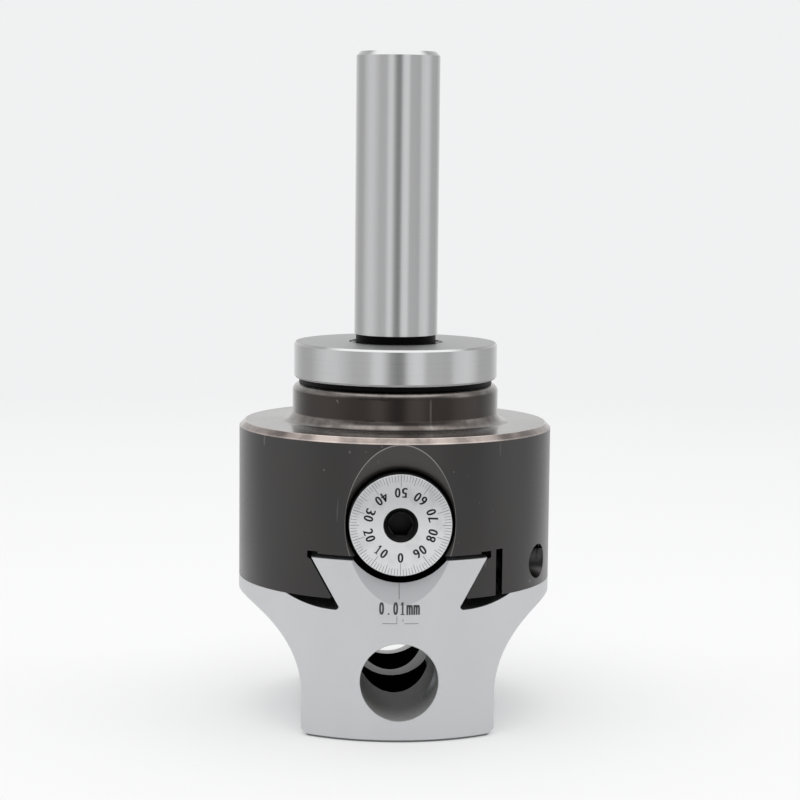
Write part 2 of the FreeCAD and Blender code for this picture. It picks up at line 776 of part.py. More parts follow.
def make_rings_and_nuts():
    """Bushes, thrust washers and nuts along the lead screw."""
    journal_bore = S.journal_dia / 2 + S.screw_clearance
    rear_bore = S.rear_journal_dia / 2 + S.screw_clearance
    front_washer_start = S.end_float - DIAL_BACK
    rear_washer_start = S.rear_pocket_start + S.end_float
    return [
        make_ring("front_bush", S.front_bush_dia / 2, journal_bore, S.front_bush_length, -RECESS_FLOOR),
        make_ring("dial_thrust_washer", S.front_washer_dia / 2, journal_bore,
                  S.washer_thickness, front_washer_start),
        make_ring("rear_bush", S.rear_bush_dia / 2, rear_bore, S.rear_bush_length, REAR_BUSH_FOOT),
        make_ring("rear_thrust_washer", S.rear_washer_dia / 2, rear_bore,
                  S.washer_thickness, rear_washer_start),
        make_thin_nut("retaining_nut", REAR_NUT_START),
        make_thin_nut("jam_nut", REAR_NUT_START + S.thin_nut_height),
    ]


def check_document(document):
    """Stop where any object of the document failed to compute."""
    for item in document.Objects:
        if "Invalid" in item.State or "Error" in item.State:
            raise RuntimeError(f"{item.Label} failed: {item.State}")


def check_piece(piece):
    """Stop where a piece is empty or isn't a valid solid."""
    shape = piece.Shape
    if shape.isNull() or not shape.isValid() or not shape.Solids:
        raise RuntimeError(f"{piece.Label} has no valid solid")


def write_pieces(pieces):
    """Check every piece and write it to parts/ under its own name."""
    os.makedirs("parts", exist_ok=True)
    for piece in pieces:
        check_piece(piece)
    for piece in pieces:
        piece.Shape.exportStep(f"parts/{piece.Label}.step")
        solids = len(piece.Shape.Solids)
        print(f"{piece.Label}: {solids} solid, {piece.Shape.Volume:.1f} mm3")


PIECES = [make_arbor(), make_head_body(), make_bar_slide(), make_lead_screw(), make_dial()]
PIECES += [make_feed_nut(), make_lock_pad()]
PIECES += make_rings_and_nuts()
PIECES += make_set_screws()
DOC.recompute()
check_document(DOC)
write_pieces(PIECES)
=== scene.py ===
import json
import math

import bpy
from mathutils import Euler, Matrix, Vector


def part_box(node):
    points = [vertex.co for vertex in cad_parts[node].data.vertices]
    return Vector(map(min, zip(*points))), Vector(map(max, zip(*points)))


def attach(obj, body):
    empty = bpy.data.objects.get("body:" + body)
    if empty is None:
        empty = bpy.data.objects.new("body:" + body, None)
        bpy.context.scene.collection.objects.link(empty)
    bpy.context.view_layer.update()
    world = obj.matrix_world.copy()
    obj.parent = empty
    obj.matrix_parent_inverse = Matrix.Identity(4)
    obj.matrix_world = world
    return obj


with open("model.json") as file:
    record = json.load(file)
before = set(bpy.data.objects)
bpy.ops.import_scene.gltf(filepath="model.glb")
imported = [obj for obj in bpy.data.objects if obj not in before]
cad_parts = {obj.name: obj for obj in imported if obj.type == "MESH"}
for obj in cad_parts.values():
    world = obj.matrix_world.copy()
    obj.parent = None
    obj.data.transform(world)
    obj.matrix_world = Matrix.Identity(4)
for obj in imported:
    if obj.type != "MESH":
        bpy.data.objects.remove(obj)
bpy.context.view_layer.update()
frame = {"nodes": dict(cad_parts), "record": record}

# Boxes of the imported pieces, in metres.
BODY_LOW, BODY_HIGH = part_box("head_body")
DIAL_LOW, DIAL_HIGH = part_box("graduated_dial")
FLOOR_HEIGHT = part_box("bar_slide")[0].z
BODY_R = BODY_HIGH.x
BODY_FOOT = BODY_LOW.z
NECK_TOP = BODY_HIGH.z
DIAL_R = DIAL_HIGH.x
DIAL_AXIS = (DIAL_LOW.z + DIAL_HIGH.z) / 2
DIAL_FACE = DIAL_LOW.y

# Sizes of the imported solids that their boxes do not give.
CROSS_HEIGHT = 0.014
BORE_R = 0.009
BORE_PITCH = 0.0245
BORE_FOOT, BORE_CEILING = 0.0004, 0.0305
DIP_TOP, DIP_DEPTH = 0.0004, 0.0054
FOOT_CHAMFER = 0.00055
DISH_R = 0.0184
DISH_SLOPE = math.tan(math.radians(20.9))
BODY_RECESS_R, SLIDE_RECESS_R = 0.0125, 0.0135
RECESS_BACK = -0.022
SHOULDER = 0.0702
SHOULDER_CHAMFER = 0.0013
NECK_R = 0.0246
NECK_FILLET = 0.0026
NECK_CROWN = 0.0017
FLANGE_FOOT = NECK_TOP + 0.0012
FLANGE_TOP = NECK_TOP + 0.0098
FLANGE_R = 0.02445
FLANGE_CHAMFER = 0.0005
UNDERCUT_FOOT, UNDERCUT_TOP, UNDERCUT_REACH = FLANGE_TOP - 0.0007, FLANGE_TOP + 0.00188, 0.0103
GIB_SCREW_HEIGHT = 0.0387
GIB_SCREW_PITCH = 0.0172
SCREW_HOLE_R = 0.00405
THREAD_PITCH = 0.00125
SCREW_REACH = 0.0025

# A mask on a surface reaches a little past it.
SKIN = 0.00005
HAIR = 0.00001


# ---------------------------------------------------------------- shaders

class Wire:
    """A shader socket that takes part in Python arithmetic."""

    def __init__(self, finish, socket):
        self.finish = finish
        self.socket = socket

    def __add__(self, other):
        return self.finish.math("ADD", self, other)

    def __radd__(self, other):
        return self.finish.math("ADD", other, self)

    def __sub__(self, other):
        return self.finish.math("SUBTRACT", self, other)

    def __rsub__(self, other):
        return self.finish.math("SUBTRACT", other, self)

    def __mul__(self, other):
        return self.finish.math("MULTIPLY", self, other)

    def __rmul__(self, other):
        return self.finish.math("MULTIPLY", other, self)

    def __truediv__(self, other):
        return self.finish.math("DIVIDE", self, other)

    def __pow__(self, other):
        return self.finish.math("POWER", self, other)

    def __gt__(self, other):
        return self.finish.math("GREATER_THAN", self, other)

    def __lt__(self, other):
        return self.finish.math("LESS_THAN", self, other)


class Finish:
    """A material or world tree, with one method that makes any node."""

    def __init__(self, owner):
        owner.use_nodes = True
        self.owner = owner
        self.tree = owner.node_tree
        self.tree.nodes.clear()

    def node(self, kind, settings=None, inputs=None, output=0):
        """Make a node, set it up, feed its sockets and hand back one of its outputs."""
        made = self.tree.nodes.new(kind)
        for name, value in (settings or {}).items():
            setattr(made, name, value)
        for name, value in (inputs or {}).items():
            if isinstance(value, Wire):
                self.tree.links.new(value.socket, made.inputs[name])
            else:
                made.inputs[name].default_value = value
        return Wire(self, made.outputs[output]) if made.outputs else made

    def math(self, operation, left, right=0.0):
        return self.node("ShaderNodeMath", {"operation": operation}, {0: left, 1: right})

    def ramp(self, factor, stops):
        """A colour ramp from (position, grey or colour) stops."""
        wire = self.node("ShaderNodeValToRGB", None, {"Fac": factor})
        ramp = wire.socket.node.color_ramp
        while len(ramp.elements) < len(stops):
            ramp.elements.new(0.5)
        for element, (place, tone) in zip(ramp.elements, stops):
            element.position = place
            element.color = (tone, tone, tone, 1) if isinstance(tone, (int, float)) else (*tone, 1)
        return wire

    def mix(self, factor, first, second):
        """Blend two colours."""
        return self.node(
            "ShaderNodeMix", {"data_type": "RGBA"}, {0: factor, 6: colour(first), 7: colour(second)}, output=2
        )

    def fade(self, factor, low, high):
        """Nothing up to the low value, all from the high one, and a straight rise between."""
        return self.ramp(factor, [(0.0, 0.0), (low, 0.0), (high, 1.0)])

    def larger(self, left, right):
        return self.math("MAXIMUM", left, right)

    def within(self, value, low, high):
        """One between two limits, and nothing elsewhere."""
        return (value > low) * (value < high)

    def noise(self, where, scale, detail):
        return self.node("ShaderNodeTexNoise", None, {"Vector": where, "Scale": scale, "Detail": detail})

    def rings(self, radius, z, scale, detail):
        """Noise that is the same all the way round the Z axis."""
        return self.noise(self.node("ShaderNodeCombineXYZ", None, {0: radius, 1: 0.0, 2: z}), scale, detail)

    def place(self, scale=(1, 1, 1), rotation=(0, 0, 0)):
        """Object coordinates through a Mapping node."""
        where = self.node("ShaderNodeTexCoord", output=3)
        inputs = {"Vector": where, "Scale": scale, "Rotation": rotation}
        return self.node("ShaderNodeMapping", None, inputs)

    def facing_up(self):
        """Height of the surface's normal: one where it faces up, minus one where it faces down."""
        return self.parts(self.node("ShaderNodeNewGeometry", output=1))[2]

    def rays(self, *kinds):
        """Light Path outputs, by name."""
        path = self.node("ShaderNodeLightPath").socket.node
        return [Wire(self, path.outputs[kind]) for kind in kinds]

    def parts(self, where):
        """The three parts of a vector."""
        split = self.node("ShaderNodeSeparateXYZ", None, {0: where}).socket.node
        return [Wire(self, socket) for socket in split.outputs]

    def bump(self, height, strength, distance):
        inputs = {"Height": height, "Strength": strength, "Distance": distance}
        return self.node("ShaderNodeBump", None, inputs)

    def surface(self, **inputs):
        """Close the material with a Principled shader."""
        named = {name.replace("_", " ").title(): value for name, value in inputs.items()}
        shader = self.node("ShaderNodeBsdfPrincipled", None, named)
        self.node("ShaderNodeOutputMaterial", None, {0: shader})
        return self.owner


def colour(tone):
    """A colour for a socket, from three numbers."""
    return tone if isinstance(tone, Wire) else (*tone, 1)


def new_finish(name):
    return Finish(bpy.data.materials.new(name))


BLACK = (0.0, 0.0, 0.0)


def radius_about(finish, across, along):
    """Distance from an axis, from the two coordinates across it."""
    return finish.math("POWER", across * across + along * along, 0.5)


def turned_steel(name, tone, rough, flanged=False):
    """Ground round the Z axis: fine rings in the gloss, soft clouds, painted shade in the grooves at a
    flange, a painted grey reflection on the flange's top and a painted highlight on its lower chamfer.
    """
    steel = new_finish(name)
    x, y, z = steel.parts(steel.place())
    radius = radius_about(steel, x, y)
    rings = steel.rings(radius, z, 2600.0, 4.0)
    cloud = steel.noise(steel.place((1, 1, 0.35)), 150.0, 3.0)
    shade = rings * 0.12 + cloud * 0.14 + 0.87
    tinted = steel.mix(shade, BLACK, tone)
    gloss = rings * 0.1 + cloud * 0.08 + (rough - 0.09)
    metallic = 1.0
    if flanged:
        # Painted shade: the gap under the flange and the undercut round the shank's foot are painted nearly
        # black.
        inside = steel.within(z, NECK_TOP - 0.02, FLANGE_FOOT - HAIR)
        undercut = steel.within(z, UNDERCUT_FOOT, UNDERCUT_TOP) * (radius < UNDERCUT_REACH)
        groove_shade = steel.larger(inside, undercut)
        tinted = steel.mix(groove_shade, tinted, (0.006, 0.006, 0.006))
        # Painted reflection: the flange's top face is painted greyer, standing for the shank mirrored in it.
        flange_top_reflection = steel.math("ABSOLUTE", z - FLANGE_TOP) < SKIN
        tinted = steel.mix(flange_top_reflection * 0.3, tinted, (0.16, 0.16, 0.165))
        # Painted highlight: the flange's lower chamfer is painted pale and made less metallic, so it shows as
        # a bright line.
        corner = steel.within(z, FLANGE_FOOT - HAIR, FLANGE_FOOT + FLANGE_CHAMFER + HAIR)
        corner = corner * (radius > FLANGE_R - 2 * FLANGE_CHAMFER)
        tinted = steel.mix(corner, tinted, (0.6, 0.6, 0.6))
        gloss = gloss + groove_shade * 0.4 + flange_top_reflection * 0.32 + corner * 0.4
        metallic = 1.0 - corner * 0.8
    return steel.surface(
        base_color=tinted, metallic=metallic, roughness=gloss, normal=steel.bump(rings, 0.1, 0.00002)
    )


def on_dish(finish, x, y, z):
    """Masks of the dish round the dial: its cone, and the edge where it leaves the round front."""
    reach = radius_about(finish, x, z - DIAL_AXIS)
    cone_depth = (DISH_R - reach) * DISH_SLOPE
    front = BODY_R - (BODY_R * BODY_R - x * x) ** 0.5
    near = (y < -0.028) * (reach < DISH_R + 0.0002)
    cone = (finish.math("ABSOLUTE", y + BODY_R - cone_depth) < SKIN) * near
    edge = (finish.math("ABSOLUTE", cone_depth - front) < SKIN) * near
    return cone, edge


def black_oxide(name, tone, rough):
    """Blackened steel: browner on neck and shoulder, worn on the corners, with rubs and a few pale specks;
    painted highlights on the neck's rounded top, its foot and the shoulder corner's edges, and painted shade
    on the neck's side, the undersides, the dial's recess and the jaws' lower edges.
    """
    steel = new_finish(name)
    x, y, z = steel.parts(steel.place())
    radius = radius_about(steel, x, y)
    rings = steel.rings(radius, z, 1500.0, 3.0)
    cloud = steel.noise(steel.place(), 60.0, 4.0)
    grain = steel.noise(steel.place(), 1100.0, 2.0)
    patch = steel.fade(steel.noise(steel.place(), 170.0, 3.0), 0.4, 0.62)
    speck = steel.fade(steel.noise(steel.place(), 620.0, 1.0), 0.76, 0.8)
    slant = steel.place((1, 1, 0.12), rotation=(0.5, 0.3, 0.2))
    scratch = steel.fade(steel.noise(slant, 700.0, 0.0), 0.8, 0.84)

    # Neck and shoulder are browner. Painted shade darkens the neck's side, and a painted highlight lightens
    # its rounded top.
    corner_foot = SHOULDER - SHOULDER_CHAMFER
    upper = steel.ramp((z - corner_foot) / 0.0004, [(0.0, 0.0), (1.0, 1.0)])
    warm = tuple(part * shift for part, shift in zip(tone, (1.35, 1.02, 0.88)))
    base = steel.mix(upper * 0.7 + cloud * 0.3, tone, warm)
    cone, edge = on_dish(steel, x, y, z)
    base = steel.mix(cone * 0.7, base, (0.075, 0.069, 0.064))
    crown_highlight = steel.ramp((z - NECK_TOP + NECK_CROWN) / 0.0005, [(0.0, 0.0), (1.0, 1.0)])
    collar_shade = (z > SHOULDER + 0.0024) * (1.0 - crown_highlight)
    base = steel.mix(collar_shade * 0.45, base, BLACK)
    base = steel.mix(crown_highlight * (patch * 0.2 + 0.14), base, (0.45, 0.43, 0.41))

    # Wear: specks, scratches, the dish's edge and the shoulder's corner. The corner's edges and the neck's
    # foot carry painted highlights.
    base = steel.mix(speck * 0.3 + scratch * 0.2, base, (0.3, 0.29, 0.28))
    base = steel.mix(edge * (cloud + 0.1), base, (0.34, 0.33, 0.32))
    corner = steel.within(z, corner_foot - 0.00008, SHOULDER + 0.00004)
    corner = corner * (radius > BODY_R - SHOULDER_CHAMFER - 0.00012)
    # Painted highlight: pale lines along the shoulder corner's upper and lower edges. The patchy rest of the
    # corner is wear.
    rim_highlight = steel.larger(z < corner_foot + 0.0002, z > SHOULDER - 0.00012) * corner
    base = steel.mix(corner * (patch * 0.35 + 0.25) + rim_highlight * 0.3, base, (0.5, 0.43, 0.4))
    # Painted highlight: the fillet at the neck's foot is painted pale in patches.
    fillet_highlight = steel.within(z, SHOULDER + 0.0003, SHOULDER + 0.0022)
    fillet_highlight = fillet_highlight * steel.within(radius, NECK_R, NECK_R + NECK_FILLET)
    base = steel.mix(fillet_highlight * (patch * 0.3 + 0.06), base, (0.45, 0.42, 0.4))

    # Painted shade: undersides, the dial's recess and the jaws' lower edges are painted black.
    recess = (radius_about(steel, x, z - DIAL_AXIS) < BODY_RECESS_R + 2 * HAIR) * (y < RECESS_BACK)
    wedge = (z < BODY_FOOT + 0.0005) * (radius < BODY_R - 0.0003)
    under_shade = steel.larger(steel.larger(steel.facing_up() < -0.6, wedge), recess)
    base = steel.mix(under_shade, base, (0.003, 0.003, 0.003))
    gloss = cloud * 0.12 + grain * 0.08 + (rough - 0.1) - upper * 0.17 - collar_shade * 0.06 + under_shade * 0.4
    height = grain * 0.5 + rings * 0.5
    return steel.surface(
        base_color=base, metallic=1.0, roughness=gloss, normal=steel.bump(height, 0.1, 0.00003),
        coat_weight=0.35 - under_shade * 0.35, coat_roughness=0.22,
    )


def slide_steel(name, tone, rough):
    """Satin ground slide, machined grey in the cross bore, with painted shade in the bores, the recess, the
    dip, on the foot's chamfer and on the dish's cone.
    """
    steel = new_finish(name)
    x, y, z = steel.parts(steel.place())
    grain = steel.noise(steel.place((1, 1, 5)), 600.0, 3.0)
    cloud = steel.noise(steel.place(), 70.0, 3.0)
    shade = cloud * 0.08 + grain * 0.05 + 0.93
    tinted = steel.mix(shade, BLACK, tone)
    gloss = grain * 0.1 + cloud * 0.06 + (rough - 0.08)
    # Painted shade: the dish's cone is painted a little darker and bluer.
    cone = on_dish(steel, x, y, z)[0]
    tinted = steel.mix(cone * 0.1, tinted, (0.02, 0.03, 0.08))

    bore_reach = BORE_R + 0.0001
    cross = (radius_about(steel, x, z - CROSS_HEIGHT) < bore_reach) * (z < CROSS_HEIGHT + BORE_R + 0.0005)
    ridges = steel.noise(steel.place((1, 6, 1)), 900.0, 4.0)
    tinted = steel.mix(cross, tinted, steel.mix(ridges, (0.2, 0.2, 0.2), (0.6, 0.6, 0.6)))
    # Painted shade: the two upright bores and the dial's recess are painted nearly black.
    centre = radius_about(steel, x, y) < bore_reach
    offset = radius_about(steel, x, y - BORE_PITCH) < bore_reach
    upright = steel.larger(centre, offset) * steel.within(z, BORE_FOOT, BORE_CEILING)
    recess = (radius_about(steel, x, z - DIAL_AXIS) < SLIDE_RECESS_R + 2 * HAIR) * (y < RECESS_BACK)
    dark = steel.larger(upright, recess)
    tinted = steel.mix(dark, tinted, (0.004, 0.004, 0.004))
    # Painted shade: the foot's chamfer is painted dark.
    tinted = steel.mix((z < FOOT_CHAMFER) * 0.75, tinted, (0.05, 0.05, 0.05))
    # Painted shade: the upward-facing dip just below the body's foot is painted black.
    dip = steel.within(z, BODY_FOOT - DIP_DEPTH, BODY_FOOT - DIP_TOP) * (steel.facing_up() > 0.45)
    tinted = steel.mix(dip * 0.9, tinted, (0.01, 0.01, 0.01))
    height = grain + cross * ridges * 3.0
    return steel.surface(
        base_color=tinted, metallic=dark * 0.45 + 0.55, roughness=gloss + cross * 0.1 + dark * 0.5,
        normal=steel.bump(height, 0.08, 0.00002),
    )


def satin_chrome(name, tone, rough):
    """Satin dial face with faint smudges, shaded towards its top, and a dark side."""
    chrome = new_finish(name)
    x, y, z = chrome.parts(chrome.place())
    grain = chrome.noise(chrome.place(), 1600.0, 3.0)
    smudge = chrome.fade(chrome.noise(chrome.place(), 260.0, 4.0), 0.5, 0.78)
    height = (z - (DIAL_AXIS - DIAL_R)) / (2 * DIAL_R)
    rise = chrome.ramp(height, [(0.0, 0.0), (0.45, 0.2), (0.75, 1.0), (1.0, 0.8)])
    tinted = chrome.mix(smudge * 0.25 + grain * 0.05 + rise * 0.4, tone, (0.3, 0.305, 0.33))
    side = (y > DIAL_FACE + 0.00012) * (radius_about(chrome, x, z - DIAL_AXIS) > DIAL_R - 0.0003)
    tinted = chrome.mix(side, tinted, (0.003, 0.003, 0.003))
    return chrome.surface(
        base_color=tinted, metallic=0.6 - side * 0.6, roughness=grain * 0.1 + (rough - 0.05) + side * 0.4,
        normal=chrome.bump(grain, 0.08, 0.00002),
    )


def machined_metal(name, tone, rough):
    """Small machined part: brass, bronze or black screw steel."""
    metal = new_finish(name)
    grain = metal.noise(metal.place(), 700.0, 3.0)
    tinted = metal.mix(grain * 0.3 + 0.8, BLACK, tone)
    return metal.surface(
        base_color=tinted, metallic=1.0, roughness=grain * 0.15 + (rough - 0.07),
        normal=metal.bump(grain, 0.1, 0.00002),
    )


def ink(name, light, dark):
    """Filler in the engraved marks, worn in places."""
    filler = new_finish(name)
    wear = filler.noise(filler.place(), 1800.0, 2.0)
    return filler.surface(base_color=filler.mix(wear, dark, light), metallic=0.0, roughness=0.55)


LOOKS = {  # finish, tone and roughness of each material slot, and whether it has the flange
    "ground_steel": (turned_steel, (0.455, 0.457, 0.462), 0.14, True),
    "black_oxide_steel": (black_oxide, (0.0425, 0.0425, 0.043), 0.36),
    "ground_slide_steel": (slide_steel, (0.57, 0.578, 0.595), 0.44),
    "satin_chrome": (satin_chrome, (0.74, 0.745, 0.75), 0.38),
    "blackened_screw_steel": (machined_metal, (0.018, 0.018, 0.018), 0.4),
    "plain_steel": (turned_steel, (0.4, 0.4, 0.4), 0.3),
    "bronze": (machined_metal, (0.55, 0.36, 0.16), 0.34),
    "brass": (machined_metal, (0.72, 0.55, 0.25), 0.3),
}
FINISHES = {name: make(name, *values) for name, (make, *values) in LOOKS.items()}
NUMERAL_INK = ink("numeral_ink", (0.09, 0.09, 0.095), (0.03, 0.03, 0.033))
TICK_INK = ink("tick_ink", (0.24, 0.245, 0.26), (0.13, 0.13, 0.14))
ETCH = ink("etched_line", (0.2, 0.2, 0.2), (0.09, 0.09, 0.09))
THREAD = machined_metal("thread_steel", (0.16, 0.155, 0.15), 0.3)


def dress_nodes():
    """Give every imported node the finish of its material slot."""
    for part in frame["record"]["subparts"]:
        node = frame["nodes"][part["node"]]
        node.data.materials.clear()
        node.data.materials.append(FINISHES[part["material_slot"]])


# ---------------------------------------------------------------- marks

def clear_selection():
    if bpy.context.object and bpy.context.object.mode != "OBJECT":
        bpy.ops.object.mode_set(mode="OBJECT")
    bpy.ops.object.select_all(action="DESELECT")


def settle():
    """Apply the active object's place to its mesh."""
    bpy.ops.object.transform_apply(location=True, rotation=True, scale=True)


def join(pieces, name):
    """Join pieces into one, under a name."""
    clear_selection()
    for piece in pieces:
        piece.select_set(True)
    bpy.context.view_layer.objects.active = pieces[0]
    bpy.ops.object.join()
    bpy.context.object.name = name
    return bpy.context.object


def finish_piece(piece, body, finish):
    """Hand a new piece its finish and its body."""
    piece.data.materials.clear()
    piece.data.materials.append(finish)
    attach(piece, body)


def tick_ring(inner, outer, width, steps):
    """Ten copies of one engraved line for each step of a tenth of a turn, tapered to its inner end."""
    rings = []
    for step in steps:
        clear_selection()
        middle = (0.0, DIAL_FACE + HAIR, DIAL_AXIS - (inner + outer) / 2)
        bpy.ops.mesh.primitive_cube_add(size=1, location=middle, scale=(width, 6 * HAIR, outer - inner))
        settle()
        line = bpy.context.object
        bpy.ops.object.mode_set(mode="EDIT")
        bpy.ops.mesh.select_all(action="DESELECT")
        bpy.ops.object.mode_set(mode="OBJECT")
        for vertex in line.data.vertices:
            vertex.select = vertex.co.z > middle[2]
        bpy.ops.object.mode_set(mode="EDIT")
        bpy.ops.transform.resize(value=(0.7, 1, 1))
        bpy.ops.mesh.select_all(action="SELECT")
        turn = math.radians(step * 3.6)
        bpy.ops.mesh.spin(
            steps=10, dupli=True, angle=math.tau, center=(0, DIAL_FACE, DIAL_AXIS), axis=(0, -1, 0)
        )
        bpy.ops.mesh.select_all(action="SELECT")
        bpy.ops.object.mode_set(mode="OBJECT")
        axis = Vector((0, 0, DIAL_AXIS))
        line.location = axis - Euler((0, turn, 0)).to_matrix() @ axis
        line.rotation_euler = (0, turn, 0)
        settle()
        bpy.ops.object.mode_set(mode="EDIT")
        bpy.ops.mesh.select_all(action="SELECT")
        bpy.ops.mesh.remove_doubles(threshold=0.000005)
        bpy.ops.mesh.normals_make_consistent(inside=False)
        bpy.ops.object.mode_set(mode="OBJECT")
        rings.append(line)
    return rings


ONE_STROKES = (  # middle across and up, width, height and lean of the figure's stem, foot and flag
    (0.0, 0.0, 0.12, 1.0, 0.0), (0.0, -0.465, 0.6, 0.07, 0.0), (-0.15, 0.37, 0.32, 0.08, 0.7),
)


def slab_one():
    """The figure 1 with a slab foot and a flag, one unit high."""
    strokes = []
    for across, up, wide, tall, lean in ONE_STROKES:
        bpy.ops.mesh.primitive_plane_add(size=1, location=(0, 0, 0))
        stroke = bpy.context.object
        stroke.scale = (wide, tall, 1)
        settle()
        stroke.rotation_euler = (0, 0, lean)
        stroke.location = (across, up, 0)
        settle()
        strokes.append(stroke)
    return join(strokes, "figure")


def glyph(figure):
    """One flat character as a mesh, in its own size."""
    clear_selection()
    if figure == "1":
        return slab_one()
    bpy.ops.object.text_add(location=(0, 0, 0))
    text = bpy.context.object
    text.data.body = figure
    text.data.size = 1.0
    text.data.resolution_u = 3
    text.data.align_x = "CENTER"
    text.data.align_y = "CENTER"
    bpy.ops.object.convert(target="MESH")
    return bpy.context.object


def lettering(figure, middle, height, width, weight, turn=0.0):
    """A flat character facing the front, fitted to a height and a width, its upright strokes thickened."""
    text = glyph(figure)
    low = [min(vertex.co[axis] for vertex in text.data.vertices) for axis in (0, 1)]
    high = [max(vertex.co[axis] for vertex in text.data.vertices) for axis in (0, 1)]
    text.location = (-(low[0] + high[0]) / 2, -(low[1] + high[1]) / 2, 0)
    settle()
    text.scale = ((width - weight) / (high[0] - low[0]), height / (high[1] - low[1]), 1)
    settle()
    smear = text.modifiers.new("smear", "ARRAY")
    smear.count = 3
    smear.use_relative_offset = False
    smear.use_constant_offset = True
    smear.constant_offset_displace = (weight / 2, 0, 0)
    bpy.ops.object.modifier_apply(modifier="smear")
    text.location = (-weight / 2, 0, 0)
    settle()
    text.rotation_euler = (math.pi / 2, turn, 0)
    text.location = middle
    settle()
    return text


def subdivide(piece, cuts):
    """Give a flat piece enough points to follow a curved surface."""
    bpy.context.view_layer.objects.active = piece
    bpy.ops.object.mode_set(mode="EDIT")
    bpy.ops.mesh.select_all(action="SELECT")
    bpy.ops.mesh.quads_convert_to_tris()
    bpy.ops.mesh.subdivide(number_cuts=cuts)
    bpy.ops.object.mode_set(mode="OBJECT")


MARK_DEPTH = 0.00002


def thicken(piece):
    """Give a flat piece a little thickness."""
    plate = piece.modifiers.new("depth", "SOLIDIFY")
    plate.thickness = MARK_DEPTH
    plate.offset = 0
    bpy.ops.object.modifier_apply(modifier="depth")


TICK_END = DIAL_R - 0.00035
TICKS = (  # length, width, and the steps in each tenth of a turn that have it
    (0.00275, 0.00016, (0,)),
    (0.0020, 0.00015, (5,)),
    (0.0015, 0.00012, (1, 2, 3, 4, 6, 7, 8, 9)),
)
NUMERAL_REACH = 0.00748
NUMERAL_PITCH = 0.00158
NUMERAL_HEIGHT = 0.00222
NUMERAL_WEIGHT = 0.0002
NUMERAL_WIDTH = 0.00132
ODD_WIDTHS = {"1": 0.0009, "4": 0.0015}


def dial_marks():
    """A hundred engraved divisions and their numerals, tops towards the centre."""
    rings = []
    for length, width, steps in TICKS:
        rings += tick_ring(TICK_END - length, TICK_END, width, steps)
    finish_piece(join(rings, "dial_divisions"), "dial_and_screw", TICK_INK)
    numerals = []
    for number in range(0, 100, 10):
        turn = math.radians(number * 3.6)
        across, down = math.cos(turn), math.sin(turn)
        figures = str(number)
        for place, figure in enumerate(figures):
            aside = (place - (len(figures) - 1) / 2) * NUMERAL_PITCH
            middle = (
                across * aside - down * NUMERAL_REACH,
                DIAL_FACE - 0.000005,
                DIAL_AXIS - down * aside - across * NUMERAL_REACH,
            )
            width = ODD_WIDTHS.get(figure, NUMERAL_WIDTH)
            numeral = lettering(figure, middle, NUMERAL_HEIGHT, width, NUMERAL_WEIGHT, turn)
            thicken(numeral)
            numerals.append(numeral)
    finish_piece(join(numerals, "dial_numerals"), "dial_and_screw", NUMERAL_INK)


AHEAD = -0.04  # flat marks start in front of the slide, and are then laid on it
INDEX_BARS = (  # low and high x, low and high z of each etched line
    (-0.00028, -0.00012, 0.0333, 0.0368),
    (-0.004, -0.0007, 0.02768, 0.02782),
    (-0.00077, -0.00063, 0.0278, 0.02945),
    (0.00105, 0.00425, 0.02768, 0.02782),
    (0.00063, 0.00077, 0.0282, 0.0289),
)
VALUE_START = -0.0042
VALUE_PITCH = 0.0016
VALUE_FOOT = 0.0298
VALUE_WEIGHT = 0.00024
VALUE_CELLS = (  # each figure with its width and height
    ("0", 0.00115, 0.0029), (".", 0.0004, 0.00042), ("0", 0.00115, 0.0029),
    ("1", 0.00095, 0.0029), ("m", 0.0015, 0.0023), ("m", 0.0015, 0.0023),
)


def etched_bar(low_x, high_x, low_z, high_z):
    """One straight etched line on the front of the slide, with enough points to follow its curve."""
    clear_selection()
    middle = ((low_x + high_x) / 2, AHEAD, (low_z + high_z) / 2)
    bpy.ops.mesh.primitive_plane_add(size=1, location=middle, rotation=(math.pi / 2, 0, 0))
    bar = bpy.context.object
    bar.scale = (high_x - low_x, high_z - low_z, 1)
    settle()
    bpy.ops.object.mode_set(mode="EDIT")
    bpy.ops.mesh.select_all(action="SELECT")
    bpy.ops.mesh.subdivide(number_cuts=5)
    bpy.ops.object.mode_set(mode="OBJECT")
    return bar


def press_on(piece, node):
    """Lay a flat piece on the front of a CAD node and give it a little thickness."""
    clear_selection()
    piece.select_set(True)
    bpy.context.view_layer.objects.active = piece
    wrap = piece.modifiers.new("lay", "SHRINKWRAP")
    wrap.target = frame["nodes"][node]
    wrap.wrap_method = "PROJECT"
    wrap.use_project_y = True
    wrap.use_positive_direction = True
    wrap.use_negative_direction = False
    wrap.offset = 0.000015
    bpy.ops.object.modifier_apply(modifier="lay")
    thicken(piece)
    return piece


def slide_marks():
    """Index line under the dial, the graduation's value, and the two short witness lines."""
    bars = [etched_bar(*bar) for bar in INDEX_BARS]
    lines = press_on(join(bars, "index_lines"), "bar_slide")
    finish_piece(lines, "slide", ETCH)
    value = []
    for cell, (figure, width, height) in enumerate(VALUE_CELLS):
        middle = (VALUE_START + cell * VALUE_PITCH, AHEAD, VALUE_FOOT + height / 2)
        mark = lettering(figure, middle, height, width, VALUE_WEIGHT)
        subdivide(mark, 8)
        value.append(mark)
    value = press_on(join(value, "graduation_value"), "bar_slide")
    finish_piece(value, "slide", NUMERAL_INK)


THREAD_TURNS = 5
THREAD_STEPS = 32


